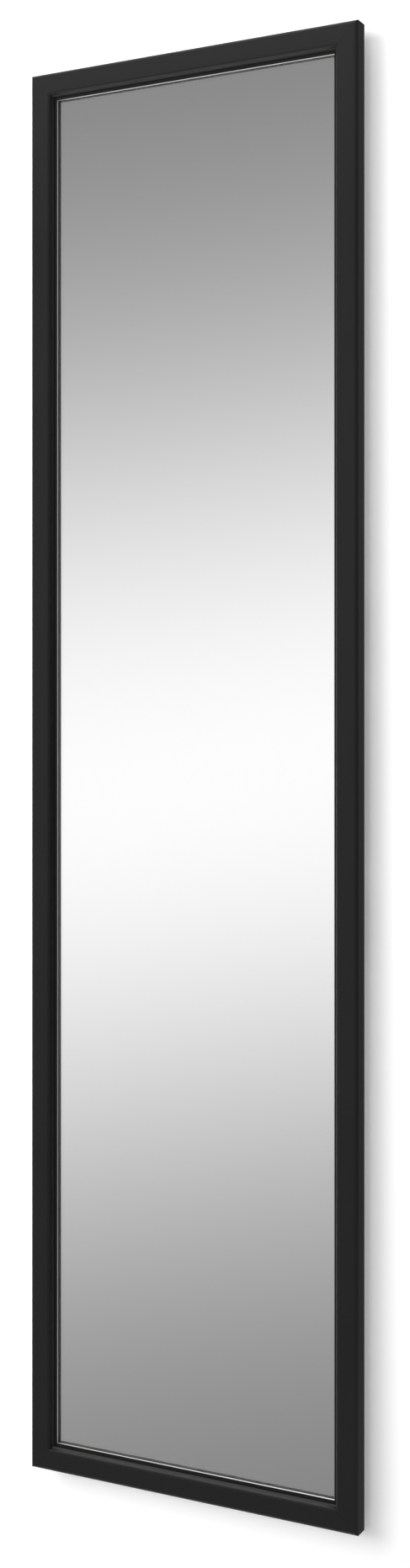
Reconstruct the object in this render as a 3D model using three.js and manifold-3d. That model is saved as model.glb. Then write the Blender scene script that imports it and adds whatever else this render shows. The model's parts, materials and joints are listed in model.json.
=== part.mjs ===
import * as THREE from "three";
import { mergeVertices } from "three/addons/utils/BufferGeometryUtils.js";
import Module from "manifold-3d";

// A tall framed mirror that pulls out of a closet on a ball-bearing slide and swings a quarter turn.
// Millimetres, +Z up. The closet's side panel is the plane y = 0 and the mirror faces -Y in front of it.
// The mirror pulls out along +X and swings on a vertical hinge behind its right-hand stile.
// The origin is on the panel, behind the middle of the closed mirror.

const wasm = await Module();
wasm.setup();

// Driving sizes of the whole mirror
const mirrorWidth = 304;
const mirrorHeight = 1200;
const fitGap = 0.2; // between pieces that seat on each other
const cutOverrun = 1; // how far a cutting tool runs past what it cuts
const roundSteps = 16; // facets round a screw, pin or hole
const cornerSteps = 4; // facets round the corner of a sheet

// Frame extrusion, its width measured inwards from the outer edge and its depth backwards from the face
const frame = {
  face: 19,
  depth: 15,
  wall: 1.5,
  reveal: 7.4,
  leg: 13,
  outerRound: 3,
  innerRound: 3.4,
  arcSteps: 8,
  mitreGap: 0.1,
};

// Glass, its safety backing and the push-in beads that hold both against the frame's lip
const glass = { thickness: 4, edgeClearance: 0.6, arris: 0.5 };
const backing = { thickness: 1, cornerRound: 3 };
const bead = { width: 3, topWidth: 1.2, barb: 0.6, barbHeight: 1, grooveDepth: 0.8, grooveFromBack: 1.5 };

// Corner keys in the frame's chamber, with the set screws that hold them
const key = { arm: 42, thickness: 6, play: 0.3, outerRound: 2.5, endRound: 1.5, screwFromCorner: 28 };
const setScrew = {
  radius: 2,
  length: 6,
  steps: 8,
  socketRadius: 1,
  socketDepth: 2,
  socketSides: 6,
  holeGap: 0.3,
  sunk: 0.3,
};

// Three-member slide, rolled from strip round two rows of balls on each side
const slide = {
  height: 45.7,
  length: 250,
  strip: 1.1,
  ballRadius: 1.75,
  ballGap: 0.3,
  runGap: 0.25,
  frontFromHinge: 12,
  arcSteps: 6,
};
// Where each member's strip starts and stops bending round its balls, in degrees
const race = {
  outerStart: 120,
  outerEnd: 15,
  knee: 250,
  troughStart: 275,
  offset: 30,
  archEnd: -10,
  innerStart: 290,
  innerEnd: 245,
};
const cage = { sheet: 0.5, length: 100, pitch: 12, endMargin: 8, reachShare: 0.8, ballSteps: 8 };
const rearStop = { thickness: 6, height: 26, pegRadius: 2, holeGap: 0.2, headroom: 1.2 };
const panelHole = { radius: 2.3, sinkRadius: 3.2, sinkDepth: 0.9, placeShares: [-0.42, -0.14, 0.18, 0.42] };
const adjustSlot = { width: 4.6, height: 11, cornerRound: 2.1, placeShares: [-0.3, 0.32] };
const accessSlot = { width: 20, height: 12, cornerRound: 5.5 };

// Pivot hinges: one leaf on the carrier, one on the frame's back, joined by a pin
const hinge = {
  inset: 8,
  fromMiddle: 118,
  fixedLeaf: 1.4,
  movingLeaf: 1.2,
  leafGap: 0.4,
  knuckleRadius: 3.5,
  pinRadius: 1.75,
  pinGap: 0.3,
  barrelLength: 50,
  knuckles: 5,
  knuckleGap: 0.4,
  knuckleClearance: 0.5,
  fixedReach: 44,
  fixedHeight: 62,
  screwReach: 31,
  screwRise: 21,
  movingMargin: 1.5,
  innerMargin: 0.5,
  movingHeight: 104,
  cornerRound: 3,
  heelReach: 6,
  heelWidth: 1.8,
  pinHeadRadius: 3,
  pinHeadHeight: 1.2,
};

// Carrier plate, a sheet-steel H on the slide's inner member, in the hollow behind the glass
const carrier = {
  thickness: 2.5,
  armHeight: 34,
  spineWidth: 38,
  spineHeight: 340,
  tailWidth: 22,
  tailHeight: 130,
  sideClearance: 4.8,
  tailClearance: 15,
  cornerRound: 6,
  fillet: 14,
  windowLength: 34,
  windowHeight: 14,
  windowRound: 6.5,
  windowShares: [-0.28, 0.02],
  screwShares: [-0.4, -0.13, 0.17, 0.4],
};
const bumper = { radius: 6, tipShare: 0.85, edgeMargin: 4 };

// Screws
const carrierScrew = { radius: 1.9, headRadius: 3.8, headHeight: 2.1, length: 5.2, flat: true };
const leafScrew = { radius: 1.9, headRadius: 3.4, headHeight: 1.6, length: 3.6, flat: false };
const stileScrew = { radius: 1.5, headRadius: 2.8, headHeight: 1.3, length: 7, flat: false };
const screwHoleGap = 0.25;
const drive = { slotWidth: 0.9, slotLengthShare: 1.1, depthShare: 0.6 };

// Finishes
const finish = {
  blackPowder: new THREE.MeshStandardMaterial({ color: 0x2b2b2b, roughness: 0.55, metalness: 0.1 }),
  mirror: new THREE.MeshStandardMaterial({ color: 0xdfe3e4, roughness: 0.03, metalness: 1 }),
  backing: new THREE.MeshStandardMaterial({ color: 0x77797b, roughness: 0.7, metalness: 0 }),
  zinc: new THREE.MeshStandardMaterial({ color: 0xb4b8bb, roughness: 0.35, metalness: 1 }),
  blackSteel: new THREE.MeshStandardMaterial({ color: 0x1f2021, roughness: 0.5, metalness: 0.6 }),
  dieCast: new THREE.MeshStandardMaterial({ color: 0x8f9294, roughness: 0.5, metalness: 0.9 }),
  rubber: new THREE.MeshStandardMaterial({ color: 0x1a1a1a, roughness: 0.85, metalness: 0 }),
  plastic: new THREE.MeshStandardMaterial({ color: 0x303234, roughness: 0.6, metalness: 0 }),
};

// Places that follow from the sizes. Depths are distances in front of the panel.
const raceRadius = slide.ballRadius + slide.ballGap + slide.strip / 2;
const ballRows = placeBallRows();
const innerWebDepth = ballRows.inner.depth + raceRadius + slide.strip + slide.runGap;
const slideDepth = innerWebDepth + slide.strip / 2;
const frameBackDepth = slideDepth + hinge.leafGap + hinge.movingLeaf + fitGap;
const frameFaceDepth = frameBackDepth + frame.depth;
const hingeX = mirrorWidth / 2 - hinge.inset;
const hingeDepth = frameBackDepth - fitGap - hinge.knuckleRadius;
const slideFrontX = hingeX - slide.frontFromHinge;
const slideRearX = slideFrontX - slide.length;
const slideMiddleX = (slideFrontX + slideRearX) / 2;
const movingRearX = slideRearX + rearStop.thickness + fitGap;
const glassBackDepth = frameFaceDepth - frame.reveal - fitGap - glass.thickness;
const backingBackDepth = glassBackDepth - fitGap - backing.thickness;
const carrierFrontDepth = slideDepth + fitGap + carrier.thickness;
const carrierRightX = mirrorWidth / 2 - frame.leg - bead.width - fitGap - carrier.sideClearance;
const carrierLeftX = -mirrorWidth / 2 + frame.face + carrier.tailClearance;

function radians(degrees) {
  return THREE.MathUtils.degToRad(degrees);
}

// The rows of balls in the upper half: their depth from the panel and their height above the middle.
function placeBallRows() {
  const outerDepth = slide.strip + raceRadius;
  const outerHeight = slide.height / 2 - slide.strip / 2 - raceRadius;
  const turn = radians(race.offset);
  return {
    outer: { depth: outerDepth, height: outerHeight },
    inner: {
      depth: outerDepth + 2 * raceRadius * Math.cos(turn),
      height: outerHeight - 2 * raceRadius * Math.sin(turn),
    },
  };
}

// A closed geometry as a solid that can be joined and cut.
function solidOf(geometry) {
  const bare = geometry.index ? geometry.toNonIndexed() : geometry.clone();
  bare.deleteAttribute("normal");
  bare.deleteAttribute("uv");
  const merged = mergeVertices(bare);
  const vertProperties = merged.attributes.position.array;
  const triVerts = new Uint32Array(merged.index.array);
  return new wasm.Manifold(new wasm.Mesh({ numProp: 3, vertProperties, triVerts }));
}

// A solid as a geometry with flat faces.
function geometryOf(solid) {
  const { vertProperties, triVerts } = solid.getMesh();
  const indexed = new THREE.BufferGeometry();
  indexed.setAttribute("position", new THREE.BufferAttribute(vertProperties, 3));
  indexed.setIndex(new THREE.BufferAttribute(triVerts, 1));
  const flat = indexed.toNonIndexed();
  flat.computeVertexNormals();
  return flat;
}

// The base geometry with some joined to it and others cut out of it.
function carve(base, joined, cut) {
  let solid = solidOf(base);
  for (const piece of joined) solid = solid.add(solidOf(piece));
  for (const piece of cut) solid = solid.subtract(solidOf(piece));
  return geometryOf(solid);
}

function meshOf(name, geometry, material) {
  const mesh = new THREE.Mesh(geometry, material);
  mesh.name = name;
  return mesh;
}

// A flat outline drawn in x and z, given thickness forwards from a depth.
function sheet(outline, thickness, depth) {
  const geometry = new THREE.ExtrudeGeometry(outline, {
    depth: thickness,
    bevelEnabled: false,
    curveSegments: cornerSteps,
  });
  const axes = [new THREE.Vector3(1, 0, 0), new THREE.Vector3(0, 0, 1), new THREE.Vector3(0, -1, 0)];
  const turn = new THREE.Matrix4().makeBasis(...axes);
  return geometry.applyMatrix4(turn).translate(0, -depth, 0);
}

// A profile drawn as depth and height, run backwards from a place along the slide.
function alongSlide(profile, frontX, length) {
  const geometry = new THREE.ExtrudeGeometry(profile, { depth: length, bevelEnabled: false });
  const axes = [new THREE.Vector3(0, -1, 0), new THREE.Vector3(0, 0, 1), new THREE.Vector3(-1, 0, 0)];
  const turn = new THREE.Matrix4().makeBasis(...axes);
  return geometry.applyMatrix4(turn).translate(frontX, 0, 0);
}

// A box between two depths, two places across and two heights.
function block([x0, x1], [depth0, depth1], [z0, z1]) {
  const geometry = new THREE.BoxGeometry(x1 - x0, depth1 - depth0, z1 - z0);
  return geometry.translate((x0 + x1) / 2, -(depth0 + depth1) / 2, (z0 + z1) / 2);
}

// A round bar that runs forwards between two depths.
function forwardBar(radius, [depth0, depth1], x, z, steps = roundSteps) {
  const geometry = new THREE.CylinderGeometry(radius, radius, depth1 - depth0, steps);
  return geometry.translate(x, -(depth0 + depth1) / 2, z);
}

// A cone between two depths, with a radius at each.
function forwardCone([radius0, radius1], [depth0, depth1], x, z) {
  const geometry = new THREE.CylinderGeometry(radius0, radius1, depth1 - depth0, roundSteps);
  return geometry.translate(x, -(depth0 + depth1) / 2, z);
}

// An upright round bar between two heights on the hinge's axis.
function uprightBar(radius, [z0, z1]) {
  const geometry = new THREE.CylinderGeometry(radius, radius, z1 - z0, roundSteps);
  return geometry.rotateX(Math.PI / 2).translate(hingeX, -hingeDepth, (z0 + z1) / 2);
}

// An outline through corners of x, z and fillet radius.
function roundedOutline(corners) {
  const outline = new THREE.Shape();
  corners.forEach(([x, z, radius], i) => {
    const corner = new THREE.Vector2(x, z);
    const [before, after] = [corners.at(i - 1), corners[(i + 1) % corners.length]].map(([px, pz]) => {
      const toNeighbour = new THREE.Vector2(px, pz).sub(corner);
      return corner.clone().add(toNeighbour.setLength(radius));
    });
    if (i === 0) outline.moveTo(before.x, before.y);
    else outline.lineTo(before.x, before.y);
    if (radius > 0) outline.quadraticCurveTo(corner.x, corner.y, after.x, after.y);
  });
  outline.closePath();
  return outline;
}

function roundedRectangle([x0, x1], [z0, z1], radius) {
  return roundedOutline([
    [x0, z0, radius],
    [x1, z0, radius],
    [x1, z1, radius],
    [x0, z1, radius],
  ]);
}

// A run of mitred frame, bead or the like. Its profile is drawn as width inwards and depth backwards.
// It stands as the left side of a frame of the given breadth and length, and its ends slope at 45 degrees.
function mitredRun(profile, breadth, length) {
  const geometry = new THREE.ExtrudeGeometry(profile, { depth: length, bevelEnabled: false });
  const position = geometry.attributes.position;
  for (let i = 0; i < position.count; i += 1) {
    const setBack = position.getX(i) + frame.mitreGap;
    const along = position.getZ(i);
    position.setZ(i, along > length / 2 ? along - setBack : along + setBack);
  }
  return geometry.translate(-breadth / 2, -frameFaceDepth, -length / 2);
}

// The four sides, each a quarter turn on from the one before.
const sides = ["left", "top", "right", "bottom"].map((name, i) => {
  const upright = i % 2 === 0;
  const breadth = upright ? mirrorWidth : mirrorHeight;
  const length = upright ? mirrorHeight : mirrorWidth;
  return { name, turn: (i * Math.PI) / 2, breadth, length };
});

function eachSide(make) {
  return sides.map(({ name, turn, breadth, length }) => {
    const mesh = make(name, breadth, length);
    mesh.rotation.y = turn;
    return mesh;
  });
}

// Frame

function frameProfile() {
  const { face, depth, wall, reveal, leg, outerRound, innerRound } = frame;
  const grooveEnd = depth - bead.grooveFromBack + bead.barbHeight / 2 + fitGap;
  const grooveStart = depth - bead.grooveFromBack - bead.barbHeight / 2 - fitGap;
  const outline = new THREE.Shape();
  outline.moveTo(0, depth);
  outline.lineTo(0, outerRound);
  outline.absarc(outerRound, outerRound, outerRound, Math.PI, 1.5 * Math.PI, false);
  outline.lineTo(face - innerRound, 0);
  outline.absarc(face - innerRound, innerRound, innerRound, 1.5 * Math.PI, 2 * Math.PI, false);
  outline.lineTo(face, reveal);
  outline.lineTo(leg, reveal);
  outline.lineTo(leg, grooveStart);
  outline.lineTo(leg - bead.grooveDepth, grooveStart);
  outline.lineTo(leg - bead.grooveDepth, grooveEnd);
  outline.lineTo(leg, grooveEnd);
  outline.lineTo(leg, depth);
  outline.closePath();
  const chamber = new THREE.Path();
  chamber.moveTo(wall, depth - wall);
  chamber.lineTo(wall, outerRound);
  chamber.absarc(outerRound, outerRound, outerRound - wall, Math.PI, 1.5 * Math.PI, false);
  chamber.lineTo(face - innerRound, wall);
  chamber.absarc(face - innerRound, innerRound, innerRound - wall, 1.5 * Math.PI, 2 * Math.PI, false);
  chamber.lineTo(face - wall, reveal - wall);
  chamber.lineTo(leg - wall, reveal - wall);
  chamber.lineTo(leg - wall, depth - wall);
  chamber.closePath();
  outline.holes.push(chamber);
  const shape = new THREE.Shape(outline.getPoints(frame.arcSteps));
  shape.holes.push(new THREE.Path(chamber.getPoints(frame.arcSteps)));
  return shape;
}

// The middle of the frame's back wall, measured inwards from the outer edge.
const legMiddle = frame.leg / 2;

// The set screws' places along one side of the frame.
function setScrewPlaces(length) {
  return [-1, 1].map((end) => end * (length / 2 - key.screwFromCorner));
}

const hingeHeights = { lower: -hinge.fromMiddle, upper: hinge.fromMiddle };
const stileScrewHeights = [-1, 1].map((end) => (end * (hinge.movingHeight + hinge.barrelLength)) / 4);
const backWallDepths = [frameBackDepth - cutOverrun, frameBackDepth + frame.wall + cutOverrun];

function makeFrame() {
  const profile = frameProfile();
  return eachSide((name, breadth, length) => {
    const x = -breadth / 2 + legMiddle;
    const holes = setScrewPlaces(length).map((z) => {
      return forwardBar(setScrew.radius + setScrew.holeGap, backWallDepths, x, z);
    });
    if (name === "right") {
      const hingeScrews = Object.values(hingeHeights).flatMap((middle) => {
        return stileScrewHeights.map((height) => -(middle + height));
      });
      holes.push(
        ...hingeScrews.map((z) => forwardBar(stileScrew.radius + screwHoleGap, backWallDepths, x, z)),
      );
    }
    const run = carve(mitredRun(profile, breadth, length), [], holes);
    const part = name === "left" || name === "right" ? "stile" : "rail";
    return meshOf(`frame_${name}_${part}`, run, finish.blackPowder);
  });
}

function makeBeads() {
  const { leg, depth } = frame;
  const inner = leg + fitGap;
  const front = frameFaceDepth - backingBackDepth + fitGap;
  const back = depth - fitGap;
  const barbMiddle = depth - bead.grooveFromBack;
  const profile = new THREE.Shape([
    new THREE.Vector2(inner, front),
    new THREE.Vector2(inner + bead.width - fitGap, front),
    new THREE.Vector2(inner + bead.topWidth, back),
    new THREE.Vector2(inner, back),
    new THREE.Vector2(inner, barbMiddle + bead.barbHeight / 2),
    new THREE.Vector2(leg - bead.barb, barbMiddle),
    new THREE.Vector2(inner, barbMiddle - bead.barbHeight / 2),
  ]);
  return eachSide((name, breadth, length) => {
    return meshOf(`glazing_bead_${name}`, mitredRun(profile, breadth, length), finish.rubber);
  });
}

// Each key is an L that fills the chambers of two sides, drawn from the frame's outer corner inwards.
function makeCornerKeys() {
  const near = frame.wall + key.play;
  const far = frame.leg - frame.wall - key.play;
  const outline = roundedOutline([
    [near, near, key.outerRound],
    [key.arm, near, key.endRound],
    [key.arm, far, key.endRound],
    [far, far, 0],
    [far, key.arm, key.endRound],
    [near, key.arm, key.endRound],
  ]);
  const backFace = frameBackDepth + frame.wall + key.play;
  const tapped = [backFace - cutOverrun, backFace + key.thickness + cutOverrun];
  const holeRadius = setScrew.radius + fitGap;
  const base = carve(
    sheet(outline, key.thickness, backFace),
    [],
    [
      forwardBar(holeRadius, tapped, key.screwFromCorner, legMiddle),
      forwardBar(holeRadius, tapped, legMiddle, key.screwFromCorner),
    ],
  );
  const corners = [
    ["bottom_left", -1, -1, 0],
    ["top_left", -1, 1, 1],
    ["top_right", 1, 1, 2],
    ["bottom_right", 1, -1, 3],
  ];
  return corners.map(([name, right, up, turns]) => {
    const mesh = meshOf(`corner_key_${name}`, base, finish.dieCast);
    mesh.rotation.y = (turns * Math.PI) / 2;
    mesh.position.set((right * mirrorWidth) / 2, 0, (up * mirrorHeight) / 2);
    return mesh;
  });
}

function makeSetScrews() {
  const backEnd = frameBackDepth + setScrew.sunk;
  const shankDepths = [backEnd, backEnd + setScrew.length];
  const socketDepths = [backEnd - cutOverrun, backEnd + setScrew.socketDepth];
  const shank = forwardBar(setScrew.radius, shankDepths, 0, 0, setScrew.steps);
  const socket = forwardBar(setScrew.socketRadius, socketDepths, 0, 0, setScrew.socketSides);
  const base = carve(shank, [], [socket]);
  return sides.flatMap(({ name, turn, breadth, length }) => {
    return setScrewPlaces(length).map((place, end) => {
      const mesh = meshOf(`set_screw_${name}_${end + 1}`, base, finish.blackSteel);
      const at = new THREE.Vector3(-breadth / 2 + legMiddle, 0, place);
      mesh.position.copy(at.applyAxisAngle(new THREE.Vector3(0, 1, 0), turn));
      return mesh;
    });
  });
}

function makeGlazing() {
  const edge = frame.leg + glass.edgeClearance;
  const halfWidth = mirrorWidth / 2 - edge;
  const halfHeight = mirrorHeight / 2 - edge;
  const inner = { halfWidth: halfWidth - glass.arris, halfHeight: halfHeight - glass.arris };
  const pane = new THREE.ExtrudeGeometry(
    new THREE.Shape([
      new THREE.Vector2(-inner.halfWidth, -inner.halfHeight),
      new THREE.Vector2(inner.halfWidth, -inner.halfHeight),
      new THREE.Vector2(inner.halfWidth, inner.halfHeight),
      new THREE.Vector2(-inner.halfWidth, inner.halfHeight),
    ]),
    {
      depth: glass.thickness - 2 * glass.arris,
      bevelThickness: glass.arris,
      bevelSize: glass.arris,
      bevelSegments: 1,
    },
  );
  pane.rotateX(Math.PI / 2).translate(0, -glassBackDepth - glass.arris, 0);
  const back = sheet(
    roundedRectangle([-halfWidth, halfWidth], [-halfHeight, halfHeight], backing.cornerRound),
    backing.thickness,
    backingBackDepth,
  );
  return [meshOf("mirror_glass", pane, finish.mirror), meshOf("safety_backing", back, finish.backing)];
}

// Slide

// Points on an arc about a row of balls, as depth and height.
function raceArc(row, from, to) {
  return Array.from({ length: slide.arcSteps + 1 }, (_, i) => {
    const angle = radians(from + ((to - from) * i) / slide.arcSteps);
    const depth = row.depth + raceRadius * Math.cos(angle);
    return new THREE.Vector2(depth, row.height + raceRadius * Math.sin(angle));
  });
}

// The outline of a strip of one thickness, bent along a middle line and mirrored below the middle.
function stripProfile(upperHalf, thickness) {
  const lowerHalf = upperHalf.map((p) => new THREE.Vector2(p.x, -p.y)).reverse();
  const line = [...lowerHalf, ...upperHalf];
  const offset = (i, side) => {
    const before = i > 0 ? line[i].clone().sub(line[i - 1]).normalize() : null;
    const after = i < line.length - 1 ? line[i + 1].clone().sub(line[i]).normalize() : null;
    const normals = [before, after].filter(Boolean).map((d) => new THREE.Vector2(-d.y, d.x));
    const middle = normals.reduce((sum, n) => sum.add(n), new THREE.Vector2()).normalize();
    const stretch = thickness / 2 / middle.dot(normals[0]);
    return line[i].clone().addScaledVector(middle, side * stretch);
  };
  const left = line.map((_, i) => offset(i, 1));
  const right = line.map((_, i) => offset(i, -1)).reverse();
  return new THREE.Shape([...left, ...right]);
}

// Where the straight strip that leaves a race along its tangent meets a web.
function tangentMeets(row, angle, webDepth) {
  const depth = row.depth + raceRadius * Math.cos(radians(angle));
  const height = row.height + raceRadius * Math.sin(radians(angle));
  return new THREE.Vector2(webDepth, height - (webDepth - depth) / Math.tan(radians(angle)));
}

const middleWebDepth = ballRows.outer.depth + raceRadius * Math.cos(radians(race.knee));
const outerCageDepth = (slide.strip + middleWebDepth - slide.strip / 2) / 2;
const innerCageDepth = middleWebDepth + slide.strip / 2 + slide.runGap + cage.sheet / 2;
const innerCageHeight = ballRows.outer.height - raceRadius - slide.strip / 2 - slide.runGap - cage.sheet / 2;

function outerMemberProfile() {
  const corner = tangentMeets(ballRows.outer, race.outerStart, slide.strip / 2);
  return stripProfile([corner, ...raceArc(ballRows.outer, race.outerStart, race.outerEnd)], slide.strip);
}

function middleMemberProfile() {
  const { outer, inner } = ballRows;
  const knee = new THREE.Vector2(
    middleWebDepth,
    outer.height + raceRadius * Math.sin(radians(race.knee)),
  );
  const trough = raceArc(outer, race.troughStart, 360 - race.offset);
  const arch = raceArc(inner, 180 - race.offset, race.archEnd);
  return stripProfile([knee, ...trough, ...arch.slice(1)], slide.strip);
}

function innerMemberProfile() {
  const corner = tangentMeets(ballRows.inner, race.innerStart, innerWebDepth);
  return stripProfile([corner, ...raceArc(ballRows.inner, race.innerStart, race.innerEnd)], slide.strip);
}

// A slot through a member's web: for setting the slide's height, or for reaching the screw behind.
function webSlot(size, x, depths) {
  const half = { x: size.width / 2, z: size.height / 2 };
  const outline = roundedRectangle([x - half.x, x + half.x], [-half.z, half.z], size.cornerRound);
  return sheet(outline, depths[1] - depths[0], depths[0]);
}

const panelHoleX = panelHole.placeShares.map((share) => slideMiddleX + share * slide.length);
const adjustSlotX = adjustSlot.placeShares.map((share) => slideMiddleX + share * slide.length);
const carrierScrewX = carrier.screwShares.map((share) => {
  return (carrierLeftX + carrierRightX) / 2 + share * (carrierRightX - carrierLeftX);
});

function makeSlide() {
  const movingLength = slideFrontX - movingRearX;
  const outerWeb = [-cutOverrun, slide.strip + cutOverrun];
  const sinkRadii = [panelHole.radius, panelHole.sinkRadius];
  const sinkDepths = [slide.strip - panelHole.sinkDepth, slide.strip];
  const outerHoles = panelHoleX.flatMap((x) => [
    forwardBar(panelHole.radius, outerWeb, x, 0),
    forwardCone(sinkRadii, sinkDepths, x, 0),
  ]);
  outerHoles.push(...adjustSlotX.map((x) => webSlot(adjustSlot, x, outerWeb)));
  const pegX = slideRearX + rearStop.thickness / 2;
  const pegHole = forwardBar(rearStop.pegRadius + rearStop.holeGap, [-cutOverrun, 2 * slide.strip], pegX, 0);
  const outer = carve(
    alongSlide(outerMemberProfile(), slideFrontX, slide.length),
    [],
    [...outerHoles, pegHole],
  );
  const middleWeb = [middleWebDepth - slide.strip, middleWebDepth + slide.strip];
  const middle = carve(
    alongSlide(middleMemberProfile(), slideFrontX, movingLength),
    [],
    panelHoleX.map((x) => webSlot(accessSlot, x, middleWeb)),
  );
  const innerWeb = [innerWebDepth - slide.strip, innerWebDepth + slide.strip];
  const inner = carve(
    alongSlide(innerMemberProfile(), slideFrontX, movingLength),
    [],
    carrierScrewX.map((x) => forwardBar(carrierScrew.radius + screwHoleGap, innerWeb, x, 0)),
  );
  return {
    outer: meshOf("slide_outer_member", outer, finish.zinc),
    middle: meshOf("slide_middle_member", middle, finish.zinc),
    inner: meshOf("slide_inner_member", inner, finish.zinc),
  };
}

// A bent strip with its balls, gripped in two rows above and two below.
function makeCage(name, row, webDepth, height) {
  const reach = row.depth + cage.reachShare * slide.ballRadius;
  const profile = stripProfile(
    [new THREE.Vector2(webDepth, height), new THREE.Vector2(reach, height)],
    cage.sheet,
  );
  const frontX = (slideFrontX + movingRearX + cage.length) / 2;
  const count = Math.floor((cage.length - 2 * cage.endMargin) / cage.pitch) + 1;
  const firstX = frontX - cage.length / 2 - ((count - 1) * cage.pitch) / 2;
  const balls = [-1, 1].flatMap((side) =>
    Array.from({ length: count }, (_, i) => {
      const ball = new THREE.SphereGeometry(slide.ballRadius, cage.ballSteps, cage.ballSteps / 2);
      return ball.translate(firstX + i * cage.pitch, -row.depth, side * row.height);
    }),
  );
  return meshOf(name, carve(alongSlide(profile, frontX, cage.length), balls, []), finish.zinc);
}

function makeRearStop() {
  const depths = [slide.strip + fitGap, slideDepth - rearStop.headroom];
  const half = rearStop.height / 2;
  const pegX = slideRearX + rearStop.thickness / 2;
  const stop = carve(
    block([slideRearX, slideRearX + rearStop.thickness], depths, [-half, half]),
    [forwardBar(rearStop.pegRadius, [fitGap, depths[0] + cutOverrun], pegX, 0)],
    [],
  );
  return meshOf("slide_rear_stop", stop, finish.plastic);
}

// Screws

// A screw seated at a depth. Its shank runs forwards, or backwards when turned round.
function makeScrew(name, size, [x, seatDepth, z], backwards = false) {
  const { radius, headRadius, headHeight, length, flat } = size;
  const flatHead = [
    [0, 0],
    [headRadius, 0],
    [radius, headHeight],
    [radius, length],
    [0, length],
  ];
  const panHead = [
    [0, -headHeight],
    [headRadius - headHeight / 2, -headHeight],
    [headRadius, -headHeight / 2],
    [headRadius, 0],
    [radius, 0],
    [radius, length],
    [0, length],
  ];
  const points = (flat ? flatHead : panHead).map(([r, along]) => new THREE.Vector2(r, along));
  const body = new THREE.LatheGeometry(points, roundSteps);
  const top = flat ? 0 : -headHeight;
  const slot = {
    long: 2 * drive.slotLengthShare * radius,
    wide: drive.slotWidth,
    deep: 2 * drive.depthShare * headHeight,
  };
  const slots = [
    new THREE.BoxGeometry(slot.long, slot.deep, slot.wide).translate(0, top, 0),
    new THREE.BoxGeometry(slot.wide, slot.deep, slot.long).translate(0, top, 0),
  ];
  const screw = carve(body, [], slots);
  if (!backwards) screw.rotateX(Math.PI);
  return meshOf(name, screw.translate(x, -seatDepth, z), finish.zinc);
}

// Carrier

function makeCarrier() {
  const { armHeight, spineWidth, spineHeight, tailWidth, tailHeight, cornerRound, fillet } = carrier;
  const arm = armHeight / 2;
  const spine = { x: carrierRightX - spineWidth, z: spineHeight / 2 };
  const tail = { x: carrierLeftX + tailWidth, z: tailHeight / 2 };
  const outline = roundedOutline([
    [carrierLeftX, -tail.z, cornerRound],
    [tail.x, -tail.z, cornerRound],
    [tail.x, -arm, fillet],
    [spine.x, -arm, fillet],
    [spine.x, -spine.z, cornerRound],
    [carrierRightX, -spine.z, cornerRound],
    [carrierRightX, spine.z, cornerRound],
    [spine.x, spine.z, cornerRound],
    [spine.x, arm, fillet],
    [tail.x, arm, fillet],
    [tail.x, tail.z, cornerRound],
    [carrierLeftX, tail.z, cornerRound],
  ]);
  const middleX = (carrierLeftX + carrierRightX) / 2;
  const span = carrierRightX - carrierLeftX;
  const halfWindow = { x: carrier.windowLength / 2, z: carrier.windowHeight / 2 };
  carrier.windowShares.forEach((share) => {
    const x = middleX + share * span;
    const window = roundedRectangle(
      [x - halfWindow.x, x + halfWindow.x],
      [-halfWindow.z, halfWindow.z],
      carrier.windowRound,
    );
    outline.holes.push(new THREE.Path(window.getPoints(cornerSteps)));
  });
  const through = [slideDepth - cutOverrun, carrierFrontDepth + cutOverrun];
  const sinkDepths = [carrierFrontDepth - carrierScrew.headHeight - fitGap, carrierFrontDepth];
  const screwHoles = carrierScrewX.flatMap((x) => [
    forwardBar(carrierScrew.radius + screwHoleGap, through, x, 0),
    forwardCone(
      [carrierScrew.radius + screwHoleGap, carrierScrew.headRadius + screwHoleGap],
      sinkDepths,
      x,
      0,
    ),
  ]);
  const leafHoles = leafScrewPlaces().map(([x, z]) => {
    return forwardBar(leafScrew.radius + screwHoleGap, through, x, z);
  });
  const plate = carve(
    sheet(outline, carrier.thickness, slideDepth + fitGap),
    [],
    [...screwHoles, ...leafHoles],
  );
  return meshOf("carrier_plate", plate, finish.blackSteel);
}

function makeBumpers() {
  const x = carrierLeftX + carrier.tailWidth / 2;
  const z = carrier.tailHeight / 2 - bumper.radius - bumper.edgeMargin;
  const depths = [carrierFrontDepth + fitGap, backingBackDepth - fitGap];
  return [
    ["bumper_lower", -z],
    ["bumper_upper", z],
  ].map(([name, height]) => {
    const foot = forwardCone([bumper.radius, bumper.radius * bumper.tipShare], depths, x, height);
    return meshOf(name, foot, finish.rubber);
  });
}

// Hinges

// The heights of the knuckles in one barrel, from the bottom: the carrier's and the frame's in turn.
function knuckleSpans() {
  const pitch = (hinge.barrelLength + hinge.knuckleGap) / hinge.knuckles;
  return Array.from({ length: hinge.knuckles }, (_, i) => {
    const bottom = -hinge.barrelLength / 2 + i * pitch;
    return { span: [bottom, bottom + pitch - hinge.knuckleGap], fixed: i % 2 === 0 };
  });
}

const fixedLeafDepths = [slideDepth - hinge.fixedLeaf, slideDepth];
const movingLeafDepths = [frameBackDepth - fitGap - hinge.movingLeaf, frameBackDepth - fitGap];

function leafScrewPlaces() {
  const x = hingeX - hinge.screwReach;
  return Object.values(hingeHeights).flatMap((middle) => [
    [x, middle - hinge.screwRise],
    [x, middle + hinge.screwRise],
  ]);
}

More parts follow.
